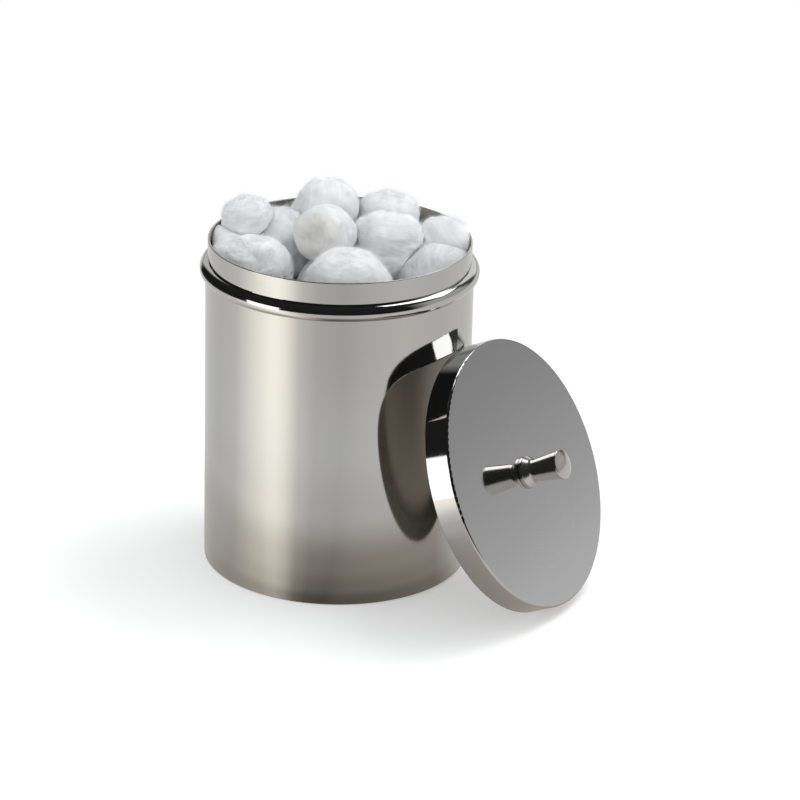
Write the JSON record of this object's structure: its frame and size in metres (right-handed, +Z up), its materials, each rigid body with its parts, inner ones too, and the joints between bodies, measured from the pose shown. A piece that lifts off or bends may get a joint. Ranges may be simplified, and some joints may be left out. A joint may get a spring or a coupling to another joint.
{
  "type": "cotton wool jar",
  "caption": "Round polished steel jar with a beaded neck, heaped with cotton wads, and its flat knobbed lid leant against its side.",
  "frame": {"origin": "centre of the jar's base, on the surface that the jar stands on", "axes": "+Z up along the jar's axis; +X from the jar towards the lid that leans on it; the jar and the lid are symmetric about XZ"},
  "size_m": [0.1531, 0.1042, 0.1403],
  "materials": {
    "jar_steel": "bright satin polish, drawn stainless steel",
    "lid_steel": "mirror polish, stainless steel",
    "knob_steel": "mirror polish, turned stainless steel",
    "fixing_steel": "plain bright, stainless steel",
    "cotton": "soft bleached cotton wool, fine loose fibres"
  },
  "bodies": {
    "jar": {"jar_body": "jar_steel"},
    "lid": {"lid_cover": "lid_steel", "lid_knob": "knob_steel", "knob_washer": "fixing_steel", "knob_screw": "fixing_steel"},
    "cotton_fill": {"wad_layer_1_middle": "cotton", "wad_layer_1_ring_1": "cotton", "wad_layer_1_ring_2": "cotton", "wad_layer_1_ring_3": "cotton", "wad_layer_1_ring_4": "cotton", "wad_layer_1_ring_5": "cotton", "wad_layer_1_ring_6": "cotton", "wad_layer_2_middle": "cotton", "wad_layer_2_ring_1": "cotton", "wad_layer_2_ring_2": "cotton", "wad_layer_2_ring_3": "cotton", "wad_layer_2_ring_4": "cotton", "wad_layer_2_ring_5": "cotton", "wad_layer_2_ring_6": "cotton", "wad_layer_3_middle": "cotton", "wad_layer_3_ring_1": "cotton", "wad_layer_3_ring_2": "cotton", "wad_layer_3_ring_3": "cotton", "wad_layer_3_ring_4": "cotton", "wad_layer_3_ring_5": "cotton", "wad_layer_3_ring_6": "cotton", "wad_layer_4_middle": "cotton", "wad_layer_4_ring_1": "cotton", "wad_layer_4_ring_2": "cotton", "wad_layer_4_ring_3": "cotton", "wad_layer_4_ring_4": "cotton", "wad_layer_4_ring_5": "cotton", "wad_layer_4_ring_6": "cotton", "wad_left_front": "cotton", "wad_left_inner": "cotton", "wad_right": "cotton", "wad_right_front": "cotton", "wad_under_back": "cotton", "wad_under_right": "cotton"},
    "front_wad": {"wad_front": "cotton"},
    "middle_wad": {"wad_centre": "cotton"},
    "middle_right_wad": {"wad_centre_right": "cotton"},
    "left_wad": {"wad_left": "cotton"},
    "back_wad": {"wad_back": "cotton"},
    "back_right_wad": {"wad_back_right": "cotton"}
  },
  "joints": [
    {"name": "lid_off", "type": "slide", "parent": "jar", "child": "lid", "axis": [0.9107, 0, 0.4131], "range_m": [0, 0.12]},
    {"name": "fill_lift", "type": "slide", "parent": "jar", "child": "cotton_fill", "axis": [0, 0, 1], "range_m": [0, 0.135]},
    {"name": "front_wad_lift", "type": "slide", "parent": "cotton_fill", "child": "front_wad", "axis": [0, 0, 1], "range_m": [0, 0.06]},
    {"name": "middle_wad_lift", "type": "slide", "parent": "cotton_fill", "child": "middle_wad", "axis": [0, 0, 1], "range_m": [0, 0.06]},
    {"name": "middle_right_wad_lift", "type": "slide", "parent": "cotton_fill", "child": "middle_right_wad", "axis": [0, 0, 1], "range_m": [0, 0.06]},
    {"name": "left_wad_lift", "type": "slide", "parent": "cotton_fill", "child": "left_wad", "axis": [0, 0, 1], "range_m": [0, 0.06]},
    {"name": "back_wad_lift", "type": "slide", "parent": "cotton_fill", "child": "back_wad", "axis": [0, 0, 1], "range_m": [0, 0.06]},
    {"name": "back_right_wad_lift", "type": "slide", "parent": "cotton_fill", "child": "back_right_wad", "axis": [0, 0, 1], "range_m": [0, 0.06]}
  ]
}
